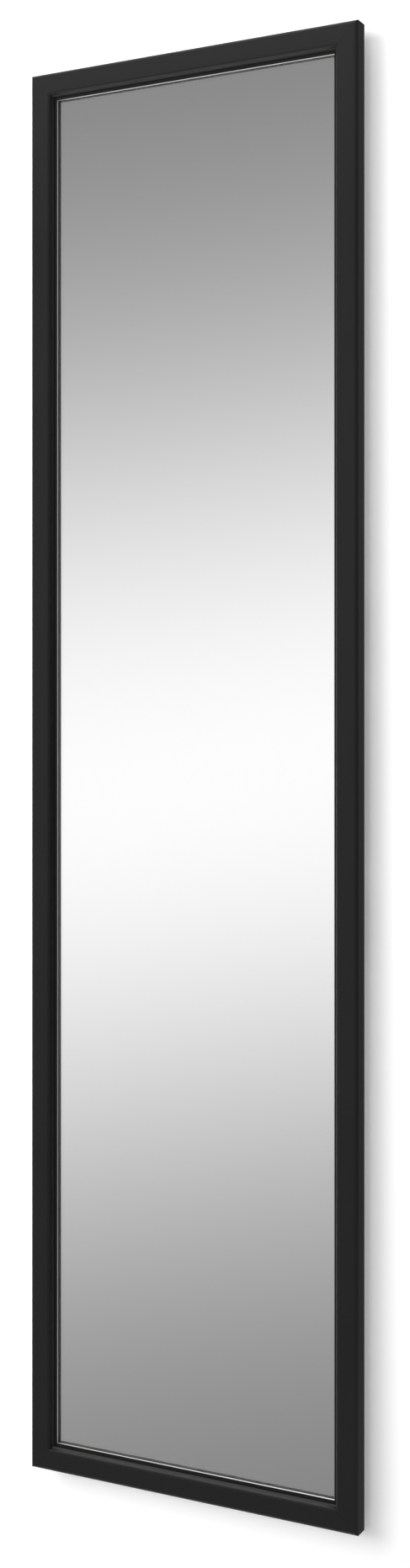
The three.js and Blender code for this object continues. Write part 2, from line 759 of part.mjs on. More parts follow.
function makeFixedLeaf(name, middle) {
  const half = hinge.fixedHeight / 2;
  const leftX = hingeX - hinge.fixedReach;
  const plate = sheet(
    roundedOutline([
      [leftX, -half, hinge.cornerRound],
      [hingeX, -half, 0],
      [hingeX, half, 0],
      [leftX, half, hinge.cornerRound],
    ]),
    hinge.fixedLeaf,
    fixedLeafDepths[0],
  );
  const spans = knuckleSpans();
  const clearX = hingeX - hinge.knuckleRadius - hinge.knuckleClearance;
  const notchDepths = [fixedLeafDepths[0] - cutOverrun, fixedLeafDepths[1] + cutOverrun];
  const barrelEnds = [-hinge.barrelLength / 2, hinge.barrelLength / 2];
  const notch = (span) => block([clearX, hingeX + hinge.knuckleRadius], notchDepths, span);
  const gap = hinge.knuckleGap;
  const notches = spans
    .filter(({ fixed }) => !fixed)
    .map(({ span }) => notch([span[0] - gap, span[1] + gap]));
  const ends = [
    notch([-half - cutOverrun, barrelEnds[0]]),
    notch([barrelEnds[1], half + cutOverrun]),
  ];
  const trimmed = carve(plate, [], [...notches, ...ends]);
  const knuckles = spans
    .filter(({ fixed }) => fixed)
    .map(({ span }) => uprightBar(hinge.knuckleRadius, span));
  const bore = uprightBar(hinge.pinRadius + hinge.pinGap, [
    barrelEnds[0] - cutOverrun,
    barrelEnds[1] + cutOverrun,
  ]);
  const screwHoles = leafScrewPlaces()
    .filter(([, z]) => Math.sign(z) === Math.sign(middle))
    .map(([x, z]) => forwardBar(leafScrew.radius + screwHoleGap, notchDepths, x, z - middle));
  const leaf = carve(trimmed, knuckles, [bore, ...screwHoles]);
  return meshOf(name, leaf.translate(0, 0, middle), finish.blackSteel);
}

function makeMovingLeaf(name, middle) {
  const half = hinge.movingHeight / 2;
  const outerX = mirrorWidth / 2 - hinge.movingMargin;
  const innerX = mirrorWidth / 2 - frame.leg + hinge.innerMargin;
  const plate = sheet(
    roundedRectangle([innerX, outerX], [-half, half], hinge.cornerRound),
    hinge.movingLeaf,
    movingLeafDepths[0],
  );
  const spans = knuckleSpans();
  const clear = hinge.knuckleRadius + hinge.knuckleClearance;
  const notchDepths = [movingLeafDepths[0] - cutOverrun, movingLeafDepths[1] + cutOverrun];
  const gap = hinge.knuckleGap;
  const notch = (span) => block([innerX - cutOverrun, hingeX + clear], notchDepths, span);
  const notches = spans
    .filter(({ fixed }) => fixed)
    .map(({ span }) => {
      return notch([span[0] - gap, span[1] + gap]);
    });
  const pinEnd = hinge.barrelLength / 2 + fitGap + hinge.pinHeadHeight + gap;
  notches.push(notch([-pinEnd, -hinge.barrelLength / 2]), notch([hinge.barrelLength / 2, pinEnd]));
  const moving = spans.filter(({ fixed }) => !fixed);
  const knuckles = moving.map(({ span }) => uprightBar(hinge.knuckleRadius, span));
  const heels = moving.map(({ span }) => {
    const heelX = hingeX - (fixedLeafDepths[0] - hingeDepth) + fitGap;
    return block(
      [heelX, heelX + hinge.heelWidth],
      [hingeDepth - hinge.heelReach, hingeDepth - hinge.pinRadius - hinge.pinGap],
      span,
    );
  });
  const bore = uprightBar(hinge.pinRadius + hinge.pinGap, [
    -hinge.barrelLength / 2 - cutOverrun,
    hinge.barrelLength / 2 + cutOverrun,
  ]);
  const screwX = mirrorWidth / 2 - legMiddle;
  const screwHoles = stileScrewHeights.map((z) => {
    return forwardBar(stileScrew.radius + screwHoleGap, notchDepths, screwX, z);
  });
  const leaf = carve(plate, [], notches);
  const joined = carve(leaf, [...knuckles, ...heels], [bore, ...screwHoles]);
  return meshOf(name, joined.translate(0, 0, middle), finish.blackSteel);
}

function makePin(name, middle) {
  const top = hinge.barrelLength / 2 + fitGap;
  const bottom = -hinge.barrelLength / 2 - hinge.pinHeadHeight;
  const pin = carve(
    uprightBar(hinge.pinRadius, [bottom, top]),
    [uprightBar(hinge.pinHeadRadius, [top, top + hinge.pinHeadHeight])],
    [],
  );
  return meshOf(name, pin.translate(0, 0, middle), finish.zinc);
}

function makeHingeScrews() {
  const onLeaf = leafScrewPlaces().map(([x, z], i) => {
    return makeScrew(`leaf_screw_${i + 1}`, leafScrew, [x, fixedLeafDepths[0] - fitGap, z]);
  });
  const stileX = mirrorWidth / 2 - legMiddle;
  const places = Object.values(hingeHeights).flatMap((middle) => {
    return stileScrewHeights.map((height) => middle + height);
  });
  const onStile = places.map((z, i) => {
    return makeScrew(`stile_screw_${i + 1}`, stileScrew, [stileX, movingLeafDepths[0] - fitGap, z]);
  });
  return { onLeaf, onStile };
}

// The whole, grouped as it moves

const slideMembers = makeSlide();
const hingeScrews = makeHingeScrews();

const panelSide = new THREE.Group();
panelSide.add(slideMembers.outer, makeRearStop());

const outerCage = makeCage("ball_cage_outer", ballRows.outer, outerCageDepth, ballRows.outer.height);
const innerCage = makeCage("ball_cage_inner", ballRows.inner, innerCageDepth, innerCageHeight);

const carriage = new THREE.Group();
carriage.add(slideMembers.inner, makeCarrier(), ...makeBumpers(), ...hingeScrews.onLeaf);
carrierScrewX.forEach((x, i) => {
  carriage.add(makeScrew(`carrier_screw_${i + 1}`, carrierScrew, [x, carrierFrontDepth, 0], true));
});
Object.entries(hingeHeights).forEach(([name, middle]) => {
  carriage.add(makeFixedLeaf(`hinge_${name}_fixed_leaf`, middle), makePin(`hinge_${name}_pin`, middle));
});

const mirror = new THREE.Group();
mirror.add(...makeFrame(), ...makeCornerKeys(), ...makeSetScrews(), ...makeGlazing(), ...makeBeads());
Object.entries(hingeHeights).forEach(([name, middle]) => {
  mirror.add(makeMovingLeaf(`hinge_${name}_moving_leaf`, middle));
});
mirror.add(...hingeScrews.onStile);

const pullOutMirror = new THREE.Group();
pullOutMirror.add(panelSide, outerCage, slideMembers.middle, innerCage, carriage, mirror);

export default pullOutMirror;
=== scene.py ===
"""Dresses the packed closet mirror: its finishes, glass and small parts, the studio and the camera."""
import json
import math

import bmesh
import bpy
from mathutils import Matrix, Vector


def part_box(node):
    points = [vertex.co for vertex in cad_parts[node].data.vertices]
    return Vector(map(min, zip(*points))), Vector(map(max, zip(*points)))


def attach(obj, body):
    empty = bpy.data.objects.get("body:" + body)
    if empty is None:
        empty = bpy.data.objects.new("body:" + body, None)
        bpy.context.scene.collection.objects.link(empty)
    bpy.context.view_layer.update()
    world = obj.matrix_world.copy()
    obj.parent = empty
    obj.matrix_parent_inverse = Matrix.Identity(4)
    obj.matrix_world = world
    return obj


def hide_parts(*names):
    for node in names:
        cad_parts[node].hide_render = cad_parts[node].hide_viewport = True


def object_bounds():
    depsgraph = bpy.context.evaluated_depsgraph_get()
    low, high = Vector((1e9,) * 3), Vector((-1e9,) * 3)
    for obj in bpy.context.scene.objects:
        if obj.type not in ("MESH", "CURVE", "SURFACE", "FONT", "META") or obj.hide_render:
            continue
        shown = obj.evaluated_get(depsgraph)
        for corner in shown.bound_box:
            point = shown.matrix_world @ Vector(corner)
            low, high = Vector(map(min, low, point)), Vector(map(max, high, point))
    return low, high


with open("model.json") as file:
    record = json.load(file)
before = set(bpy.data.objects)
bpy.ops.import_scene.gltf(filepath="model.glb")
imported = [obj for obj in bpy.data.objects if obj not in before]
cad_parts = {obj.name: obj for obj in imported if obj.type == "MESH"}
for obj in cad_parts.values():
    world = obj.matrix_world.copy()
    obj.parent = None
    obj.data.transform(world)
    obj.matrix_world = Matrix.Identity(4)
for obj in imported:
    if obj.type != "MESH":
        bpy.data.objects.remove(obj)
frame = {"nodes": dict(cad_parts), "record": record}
nodes = frame["nodes"]
cad_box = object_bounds()
bodies = frame["record"]["behaviour"]["bodies"]
body_of_node = {node: body for body, names in bodies.items() for node in names}
scene = bpy.context.scene
mm = 0.001


def frame_size(length):
    """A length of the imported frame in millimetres, without the stray last digits of its file."""
    return round(length / mm, 3)


# Camera, fitted to the frame's rounded outline in the photograph, with sensor and lens in millimetres
CAMERA_PLACE = Vector((738.1, -1432.9, 59.5)) * mm
CAMERA_TURN = math.radians(27.199)
CAMERA_NEAR = 50.0 * mm
SENSOR = 36.0
LENS = 44.055
SHIFT_Y = -0.05189

# Frame's profile in millimetres: its face and roundings
stile_low, stile_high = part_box("frame_right_stile")
FACE = frame_size(stile_high.x - stile_low.x)
OUTER_ROUND = 3.0
INNER_ROUND = 3.4
ROUND_STEPS = 8

# Filled mitre seams in millimetres, each a little under the frame's surface
SEAM_DEPTH = 7.0
SEAM_WIDTH = 0.1
SEAM_SUNK = 0.04

# Mirror pane: silver on its back, ground edges, and how far the silver's layer reaches into the glass
SILVER = 0.06 * mm
ARRIS = 0.5 * mm
SILVER_BITE = 0.02 * mm

# Thin flange that stands in from the frame's lip over the glass, its gasket and its bright cut edge
GLASS_UNDER_LIP = frame_size(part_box("mirror_glass")[1].x - stile_low.x) * mm
FLANGE_REACH = 3.4 * mm
FLANGE_THICKNESS = 0.65 * mm
FLANGE_LIFT = 0.02 * mm
FLANGE_FOOT = 0.15 * mm
BRIGHT_CUT = 0.55 * mm

# Painted light on the frame's coat and painted shade on the gasket, matched to the photograph, each pair the
# places where one starts and ends
# Painted light: the frame's coat turns paler towards its top
TOP_PAINTED_LIGHT = (0.0155, 0.0155, 0.016)
TOP_FADE = (450.0 * mm, 600.0 * mm)
# Painted light on the opening's walls, and the places where it starts and ends on them
OPENING_WALLS_PAINTED_LIGHT = (0.055, 0.055, 0.055)
SHORT_WALL_BEYOND = (0.3 * mm, 1.3 * mm)
SHORT_WALL_ENDS = (-12.0 * mm, -0.4 * mm)
LONG_WALL_BEYOND = (0.1 * mm, 0.3 * mm)
LONG_WALL_BEHIND_FACE = (3.4 * mm, 4.4 * mm)
LONG_WALL_FADE = (0.0, 450.0 * mm)
LONG_WALL_MIDDLE_SHARE = 0.25
# Painted shade on the gasket's sides, and how far it blends in
GASKET_SIDE_PAINTED_SHADE = (0.3, 0.3, 0.29)
GASKET_BLEND = 0.2 * mm

# Textures: cloud and grain as noise scales, spread of the roughness, strength and height of the relief
EVEN = (1.0, 1.0, 1.0)
CLOUD_DETAIL = 3.0
ROUGH_GRAIN = 0.6
COAT = {"cloud": 14.0, "grain": 1500.0, "gloss": 0.05, "relief": 0.35, "height": 0.06 * mm}
METAL = {"cloud": 45.0, "grain": 4200.0, "gloss": 0.03, "relief": 0.05, "height": 0.01 * mm}
MOULDING = {"cloud": 90.0, "detail": 3.0, "gloss": 0.06, "relief": 0.3, "height": 0.05 * mm}
COAT_SHEEN_ROUGHNESS = 0.3

# Colours that two finishes share, each as the darker and the lighter end of its cloud
FRAME_BLACK = ((0.0088, 0.0088, 0.0093), (0.0115, 0.0115, 0.012))
CARRIER_BLACK = ((0.018, 0.018, 0.019), (0.024, 0.024, 0.025))

# Glass and silver
GLASS_TINT = (0.99, 0.994, 0.992)
GLASS_IOR = 1.52
SILVER_WHITE = ((0.955, 0.96, 0.96), (0.97, 0.972, 0.97))
SILVER_CLOUD = 5.0

# Shading of the CAD nodes
SHARP_ANGLE = math.radians(32)
WELD_DISTANCE = 0.001 * mm

# Ball cages in millimetres, as depths from the panel and heights from the middle
CAGES = {
    "ball_cage_outer": {"web": 1.68, "flange": 19.7, "reach": 5.1, "row_depth": 3.7, "row_height": 19.7},
    "ball_cage_inner": {"web": 3.86, "flange": 16.05, "reach": 9.6, "row_depth": 8.2, "row_height": 17.1},
}
CAGE_SHEET = 0.5
CAGE_EDGE = 0.08
BALL_RADIUS = 1.75
BALL_PITCH = 12.0
BALL_COUNT = 8
BALL_SUBDIVISIONS = 3
POCKET_GAP = 0.1
POCKET_STEPS = 20
SLOT_HEIGHTS = (-8.0, 0.0, 8.0)
SLOT_FROM_BALL = 3.0
SLOT_HALF_HEIGHT = 2.2

# Turned parts: facets round the axis, and the distance within which the points on it are joined
LATHE_STEPS = 40
LATHE_WELD = 0.0005 * mm

# Screws in millimetres: radius and height of the head, radius of the shank, then rim, thread, tip and dome
SCREWS = {
    "carrier_screw": {"head": 3.8, "rise": 2.1, "shank": 1.9, "countersunk": True},
    "leaf_screw": {"head": 3.4, "rise": 1.6, "shank": 1.9, "countersunk": False},
    "stile_screw": {"head": 2.8, "rise": 1.3, "shank": 1.5, "countersunk": False},
}
SINK_RIM_INSET = 0.25
SINK_RIM_HEIGHT = 0.2
THREAD_PITCH = 0.7
THREAD_DEPTH = 0.22
THREAD_START = 0.3
THREAD_STOP = 0.9
TIP_LENGTH = 0.5
TIP_INSET = 0.45
DOME_SHARES = [(0.0, 1.0), (0.45, 0.98), (0.7, 0.86), (0.88, 0.62), (0.98, 0.3), (1.0, 0.08), (0.98, 0.0)]

# Cross recess: width in millimetres, length by the shank's radius, depth by the head's height, and taper
RECESS_WIDTH = 0.75
RECESS_LENGTH_SHARE = 2.1
RECESS_DEPTH_SHARE = 0.8
RECESS_TAPER_SHARE = 0.45

# Set screws in millimetres: chamfered rim at the socket, tapered end with a cup, hexagon socket
SET_SCREW = {
    "radius": 2.0,
    "rim_radius": 1.7,
    "chamfer": 0.35,
    "taper": 0.8,
    "end_radius": 1.2,
    "cup_radius": 0.8,
    "cup_wall": 0.3,
    "cup_depth": 0.5,
    "socket_radius": 1.05,
    "socket_length": 4.0,
    "socket_sides": 6,
}

# Hinge pins in millimetres, the dome as radii and drops from the top
PIN = {"radius": 1.75, "chamfer": 0.4, "head_radius": 3.0, "head_height": 1.2, "head_chamfer": 0.2}
PIN_DOME = [(3.0, 0.7), (2.6, 0.25), (1.6, 0.03)]

# Bumpers, as shares of their radius and height
BUMPER_SHARES = [
    (0.0, 0.0),
    (0.97, 0.0),
    (1.0, 0.12),
    (0.98, 0.3),
    (0.89, 0.75),
    (0.86, 0.93),
    (0.8, 1.0),
    (0.56, 1.0),
    (0.42, 0.8),
    (0.0, 0.75),
]

# Floor and wall in metres, with the glow that the camera alone sees
FLOOR_DROP = 0.16
FLOOR_SIZE = 16.0
FLOOR_LIFT = 0.76
WALL_SIZE = (3.2, 3.0)
WALL_GAP = 0.5 * mm
WALL_LIFT = 0.225
BACKDROP_COLOUR = (0.9, 0.9, 0.9)
BACKDROP_ROUGHNESS = 0.9

# World: an even fill, and for gloss a band of light, fitted to the mirror's picture in the photograph
WHITE = (1.0, 1.0, 1.0, 1.0)
WORLD_FILL = 0.3
BAND_TILT = (-0.156, 0.0, 1.0)
BAND_HEIGHT = 0.034
BAND_WIDTH = 0.217
BAND_LOW = 0.2
BAND_HIGH = 1.02
SURROUND = 1.0
SURROUND_FADE = (0.42, 0.7)
TO_THE_RIGHT = (1.0, 0.0, 0.0)
RIGHT_SHARE = 0.65
RIGHT_FADE = (-0.2, 0.15)
TO_THE_REAR = (0.0, 1.0, 0.0)
REAR_SHARE = 0.25
REAR_FADE = (0.3, 0.8)

# Square lamps, in metres and watts, aimed at the origin
LAMPS = {
    "key": {"place": (-1.05, -2.2, 0.85), "size": 1.5, "power": 44.0, "glossy": False},
    "front": {"place": (0.2, -3.2, 0.4), "size": 1.4, "power": 30.0, "glossy": False},
    "overhead": {"place": (-0.3, -0.9, 2.0), "size": 1.2, "power": 8.0, "glossy": True},
    "behind": {"place": (-0.6, 2.4, 1.0), "size": 1.4, "power": 60.0, "glossy": True},
}


# Node helpers

def new_material(name):
    material = bpy.data.materials.new(name)
    material.use_nodes = True
    tree = material.node_tree
    return material, tree, tree.nodes["Principled BSDF"]


def add(tree, kind, **settings):
    node = tree.nodes.new(kind)
    for key, value in settings.items():
        setattr(node, key, value)
    return node


def math_node(tree, operation, a, b=None):
    node = add(tree, "ShaderNodeMath", operation=operation)
    for socket, value in zip(node.inputs, (a, b)):
        if isinstance(value, (int, float)):
            socket.default_value = value
        elif value is not None:
            tree.links.new(value, socket)
    return node.outputs[0]


def object_coords(tree, scale=EVEN):
    coords = add(tree, "ShaderNodeTexCoord")
    mapping = add(tree, "ShaderNodeMapping")
    mapping.inputs["Scale"].default_value = scale
    tree.links.new(coords.outputs["Object"], mapping.inputs["Vector"])
    return mapping.outputs[0]


def noise(tree, vector, scale, detail=2.0, roughness=0.5):
    node = add(tree, "ShaderNodeTexNoise")
    node.inputs["Scale"].default_value = scale
    node.inputs["Detail"].default_value = detail
    node.inputs["Roughness"].default_value = roughness
    tree.links.new(vector, node.inputs["Vector"])
    return node.outputs["Fac"]


def spread(tree, value, low, high, start=0.3, end=0.7):
    """Low up to the start, high from the end on, and evenly between them on the way."""
    node = add(tree, "ShaderNodeMapRange")
    for name, number in (("From Min", start), ("From Max", end), ("To Min", low), ("To Max", high)):
        node.inputs[name].default_value = number
    tree.links.new(value, node.inputs["Value"])
    return node.outputs["Result"]


def spread_from(tree, value, low, high, origin, places):
    """A spread whose start and end are counted from an origin."""
    return spread(tree, value, low, high, origin + places[0], origin + places[1])


def mix_colours(tree, value, first, second):
    node = add(tree, "ShaderNodeMix", data_type="RGBA")
    colours = [socket for socket in node.inputs if socket.type == "RGBA"]
    colours[0].default_value = (*first, 1.0)
    colours[1].default_value = (*second, 1.0)
    tree.links.new(value, node.inputs[0])
    return next(socket for socket in node.outputs if socket.type == "RGBA")


def bump(tree, shader, height, strength, distance):
    node = add(tree, "ShaderNodeBump")
    node.inputs["Strength"].default_value = strength
    node.inputs["Distance"].default_value = distance
    tree.links.new(height, node.inputs["Height"])
    tree.links.new(node.outputs["Normal"], shader.inputs["Normal"])


def cloud_and_grain(tree, shader, cloud, colours, grain, roughness, texture):
    """Colours a shader by the cloud, and lays the grain into its gloss and its relief."""
    tree.links.new(mix_colours(tree, cloud, *colours), shader.inputs["Base Color"])
    gloss = spread(tree, grain, roughness - texture["gloss"], roughness + texture["gloss"])
    tree.links.new(gloss, shader.inputs["Roughness"])
    bump(tree, shader, grain, texture["relief"], texture["height"])


# Materials

def powder_coat(name, colours, roughness, shine, haze):
    """Sprayed powder: a fine orange peel, uneven in shade and gloss, and paler at flat angles."""
    material, tree, shader = new_material(name)
    place = object_coords(tree)
    shader.inputs["Specular IOR Level"].default_value = shine
    shader.inputs["Sheen Weight"].default_value = haze
    shader.inputs["Sheen Roughness"].default_value = COAT_SHEEN_ROUGHNESS
    cloud = noise(tree, place, COAT["cloud"], CLOUD_DETAIL)
    peel = noise(tree, place, COAT["grain"], roughness=ROUGH_GRAIN)
    cloud_and_grain(tree, shader, cloud, colours, peel, roughness, COAT)
    return material


def rolled_metal(name, colours, roughness, stretch=EVEN):
    """Plated or bare metal. A stretch below 1 draws its grain out into fine lines along that axis."""
    material, tree, shader = new_material(name)
    shader.inputs["Metallic"].default_value = 1.0
    lines = noise(tree, object_coords(tree, stretch), METAL["grain"])
    cloud = noise(tree, object_coords(tree), METAL["cloud"], CLOUD_DETAIL)
    cloud_and_grain(tree, shader, cloud, colours, lines, roughness, METAL)
    return material


def moulded(name, colours, roughness, grain):
    """Rubber, plastic or lacquer with a dull fine grain."""
    material, tree, shader = new_material(name)
    place = object_coords(tree)
    cloud = noise(tree, place, MOULDING["cloud"])
    texture = noise(tree, place, grain, MOULDING["detail"], ROUGH_GRAIN)
    cloud_and_grain(tree, shader, cloud, colours, texture, roughness, MOULDING)
    return material


def own_place(tree):
    """The object's own X, Y and Z, with X and Z also as distances from its middle."""
    split = add(tree, "ShaderNodeSeparateXYZ")
    tree.links.new(object_coords(tree), split.inputs[0])
    x, y, z = split.outputs
    return math_node(tree, "ABSOLUTE", x), y, z, math_node(tree, "ABSOLUTE", z)


def tint(material, value, colour):
    """Lays a colour over what a material's base colour has, as far as the value says."""
    tree = material.node_tree
    base = tree.nodes["Principled BSDF"].inputs["Base Color"]
    before = base.links[0].from_socket
    mixed = mix_colours(tree, value, colour, colour)
    tree.links.new(before, next(socket for socket in mixed.node.inputs if socket.type == "RGBA"))
    tree.links.new(mixed, base)


def frame_coat():
    """The frame's powder coat, with painted light that makes it paler at the top and on the opening's walls,
    as in the photograph.
    """
    material = powder_coat("black_powder_coat", FRAME_BLACK, roughness=0.4, shine=0.18, haze=0.5)
    tree = material.node_tree
    across, depth, height, along = own_place(tree)
    # Painted light: paler towards the top of the frame
    tint(material, spread(tree, height, 0.0, 1.0, *TOP_FADE), TOP_PAINTED_LIGHT)
    # Painted light: the opening's walls paler, the side walls only behind the face and less so at mid-height
    wall_x, wall_z = cad_box[1].x - FACE * mm, cad_box[1].z - FACE * mm
    short = math_node(
        tree, "MULTIPLY",
        spread_from(tree, across, 1.0, 0.0, wall_x, SHORT_WALL_ENDS),
        spread_from(tree, along, 1.0, 0.0, wall_z, SHORT_WALL_BEYOND),
    )
    long = math_node(
        tree, "MULTIPLY",
        spread_from(tree, across, 1.0, 0.0, wall_x, LONG_WALL_BEYOND),
        spread_from(tree, depth, 0.0, 1.0, cad_box[0].y, LONG_WALL_BEHIND_FACE),
    )
    fade = spread(tree, along, LONG_WALL_MIDDLE_SHARE, 1.0, *LONG_WALL_FADE)
    long = math_node(tree, "MULTIPLY", long, fade)
    # Painted light laid over the opening's walls
    tint(material, math_node(tree, "MAXIMUM", short, long), OPENING_WALLS_PAINTED_LIGHT)
    return material


def gasket_rubber():
    """Pale, with painted shade that makes it darker along the glass's sides than above and below it, as the
    lines in the photograph are.
    """
    material = moulded("lip_gasket", ((0.82, 0.82, 0.8), (0.88, 0.88, 0.86)), roughness=0.6, grain=900.0)
    tree = material.node_tree
    across = own_place(tree)[0]
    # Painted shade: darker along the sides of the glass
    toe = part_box("mirror_glass")[1].x - GLASS_UNDER_LIP - FLANGE_REACH - BRIGHT_CUT
    tint(material, spread(tree, across, 0.0, 1.0, toe, toe + GASKET_BLEND), GASKET_SIDE_PAINTED_SHADE)
    return material


def clear_glass():
    material, _, shader = new_material("float_glass")
    shader.inputs["Base Color"].default_value = (*GLASS_TINT, 1.0)
    shader.inputs["Roughness"].default_value = 0.0
    shader.inputs["IOR"].default_value = GLASS_IOR
    shader.inputs["Transmission Weight"].default_value = 1.0
    return material


def silvering():
    """The silver coat, very faintly uneven."""
    material, tree, shader = new_material("silver_coat")
    shader.inputs["Metallic"].default_value = 1.0
    shader.inputs["Roughness"].default_value = 0.0
    cloud = noise(tree, object_coords(tree), SILVER_CLOUD)
    tree.links.new(mix_colours(tree, cloud, *SILVER_WHITE), shader.inputs["Base Color"])
    return material


finishes = {
    "frame": frame_coat(),
    "flange": powder_coat("flange_powder_coat", FRAME_BLACK, roughness=0.4, shine=0.18, haze=0.3),
    "seam": powder_coat(
        "seam_filler", ((0.007, 0.007, 0.0075), (0.009, 0.009, 0.0095)), roughness=0.44, shine=0.18, haze=0.3
    ),
    "bright_cut": rolled_metal("bright_cut", ((0.5, 0.49, 0.47), (0.56, 0.55, 0.53)), roughness=0.3),
    "gasket": gasket_rubber(),
    "carrier": powder_coat("carrier_powder_coat", CARRIER_BLACK, roughness=0.5, shine=0.4, haze=0.0),
    "hinge": powder_coat("hinge_powder_coat", CARRIER_BLACK, roughness=0.46, shine=0.4, haze=0.0),
    "slide": rolled_metal(
        "zinc_strip", ((0.5, 0.51, 0.53), (0.6, 0.61, 0.62)), roughness=0.3, stretch=(0.06, 1.0, 1.0)
    ),
    "cage": rolled_metal(
        "zinc_cage", ((0.55, 0.56, 0.58), (0.64, 0.65, 0.66)), roughness=0.24, stretch=(0.1, 1.0, 1.0)
    ),
    "screw": rolled_metal("zinc_screw", ((0.5, 0.51, 0.53), (0.62, 0.62, 0.63)), roughness=0.28),
    "pin": rolled_metal(
        "zinc_pin", ((0.52, 0.53, 0.54), (0.62, 0.62, 0.63)), roughness=0.22, stretch=(1.0, 1.0, 0.1)
    ),
    "key": rolled_metal("bare_aluminium", ((0.6, 0.61, 0.62), (0.68, 0.69, 0.7)), roughness=0.4),
    "set_screw": rolled_metal("black_oxide", ((0.03, 0.03, 0.032), (0.05, 0.05, 0.052)), roughness=0.38),
    "stop": moulded(
        "black_nylon", ((0.012, 0.012, 0.013), (0.018, 0.018, 0.019)), roughness=0.5, grain=700.0
    ),
    "bead": moulded("bead_rubber", ((0.01, 0.01, 0.01), (0.016, 0.016, 0.016)), roughness=0.62, grain=900.0),
    "bumper": moulded(
        "bumper_rubber", ((0.012, 0.012, 0.012), (0.02, 0.02, 0.02)), roughness=0.7, grain=1100.0
    ),
    "ball": rolled_metal("polished_ball", ((0.66, 0.67, 0.69), (0.72, 0.73, 0.75)), roughness=0.12),
    "backing": moulded(
        "backing_lacquer", ((0.22, 0.23, 0.24), (0.26, 0.27, 0.28)), roughness=0.42, grain=260.0
    ),
}


# CAD nodes

def smooth_by_angle():
    """Smooth shading on every rounded part of a CAD node, with its real edges kept."""
    group = bpy.data.node_groups.new("smooth_by_angle", "GeometryNodeTree")
    group.interface.new_socket("Geometry", in_out="INPUT", socket_type="NodeSocketGeometry")
    group.interface.new_socket("Geometry", in_out="OUTPUT", socket_type="NodeSocketGeometry")
    start, end = group.nodes.new("NodeGroupInput"), group.nodes.new("NodeGroupOutput")
    faces = add(group, "GeometryNodeSetShadeSmooth", domain="FACE")
    edges = add(group, "GeometryNodeSetShadeSmooth", domain="EDGE")
    edges.inputs["Shade Smooth"].default_value = False
    angle = add(group, "GeometryNodeInputMeshEdgeAngle")
    sharp = math_node(group, "GREATER_THAN", angle.outputs["Unsigned Angle"], SHARP_ANGLE)
    group.links.new(sharp, edges.inputs["Selection"])
    group.links.new(start.outputs[0], faces.inputs["Geometry"])
    group.links.new(faces.outputs[0], edges.inputs["Geometry"])
    group.links.new(edges.outputs[0], end.inputs[0])
    return group


def dress_cad_nodes():
    """Gives every CAD node the finish of its slot. The mirror's slot has none, as the pane is made anew."""
    slots = {part["node"]: part["material_slot"] for part in frame["record"]["subparts"]}
    smoothing = smooth_by_angle()
    for name, node in nodes.items():
        finish = finishes.get(slots[name])
        if finish is None:
            continue
        if not node.material_slots:
            node.data.materials.append(finish)
        for slot in node.material_slots:
            slot.material = finish
        weld = node.modifiers.new("weld", "WELD")
        weld.merge_threshold = WELD_DISTANCE
        node.modifiers.new("smooth", "NODES").node_group = smoothing


# Mesh helpers

def link(name, mesh_data):
    piece = bpy.data.objects.new(name, mesh_data)
    scene.collection.objects.link(piece)
    return piece


def mesh_data_of(name, mesh):
    """Turns a bmesh into mesh data with all its faces outwards, and frees it."""
    bmesh.ops.recalc_face_normals(mesh, faces=mesh.faces[:])
    data = bpy.data.meshes.new(name)
    mesh.to_mesh(data)
    mesh.free()
    return data


def shade_smooth(data):
    data.polygons.foreach_set("use_smooth", [True] * len(data.polygons))
    data.set_sharp_from_angle(angle=SHARP_ANGLE)
    return data


def smooth_mesh(name, mesh):
    return shade_smooth(mesh_data_of(name, mesh))


def arc_points(x, y, radius, start, end, steps):
    angles = [math.radians(start + (end - start) * i / steps) for i in range(steps + 1)]
    return [(x + radius * math.cos(a), y + radius * math.sin(a)) for a in angles]


def middle_at(node, y):
    """The middle of a node's box in X and Z, at a place in Y."""
    low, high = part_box(node)
    return Vector(((low.x + high.x) / 2, y, (low.z + high.z) / 2))


def loops_solid(name, low, high, rings, capped):
    """A closed solid through rectangles: a slab with flat ends, or a ring where it isn't capped.

    Each rectangle is set in from the box's outline by its own amount, at its own y.
    """
    mesh = bmesh.new()
    loops = []
    for inset, y in rings:
        x0, x1 = low.x + inset, high.x - inset
        z0, z1 = low.z + inset, high.z - inset
        loops.append([mesh.verts.new((x, y, z)) for x, z in ((x0, z0), (x0, z1), (x1, z1), (x1, z0))])
    pairs = list(zip(loops, loops[1:]))
    if capped:
        mesh.faces.new(loops[0])
        mesh.faces.new(loops[-1])
    else:
        pairs.append((loops[-1], loops[0]))
    for before, after in pairs:
        for i in range(len(before)):
            mesh.faces.new((before[i - 1], before[i], after[i], after[i - 1]))
    return link(name, mesh_data_of(name, mesh))


# Mirror pane: a glass slab with the silver on its back

def make_pane():
    """Glass with ground edges and the silver on its back."""
    low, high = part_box("mirror_glass")
    front, back = low.y, high.y - SILVER
    slab = loops_solid("glass_slab", low, high, [
        (ARRIS, back),
        (0.0, back - ARRIS),
        (0.0, front + ARRIS),
        (ARRIS, front),
    ], capped=True)
    slab.data.materials.append(clear_glass())
    silver_rings = [(ARRIS, high.y), (ARRIS, back - SILVER_BITE)]
    silver = loops_solid("silver_layer", low, high, silver_rings, capped=True)
    silver.data.materials.append(silvering())
    for piece in (slab, silver):
        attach(piece, "mirror")
        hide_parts("mirror_glass")


# Thin trim of the frame

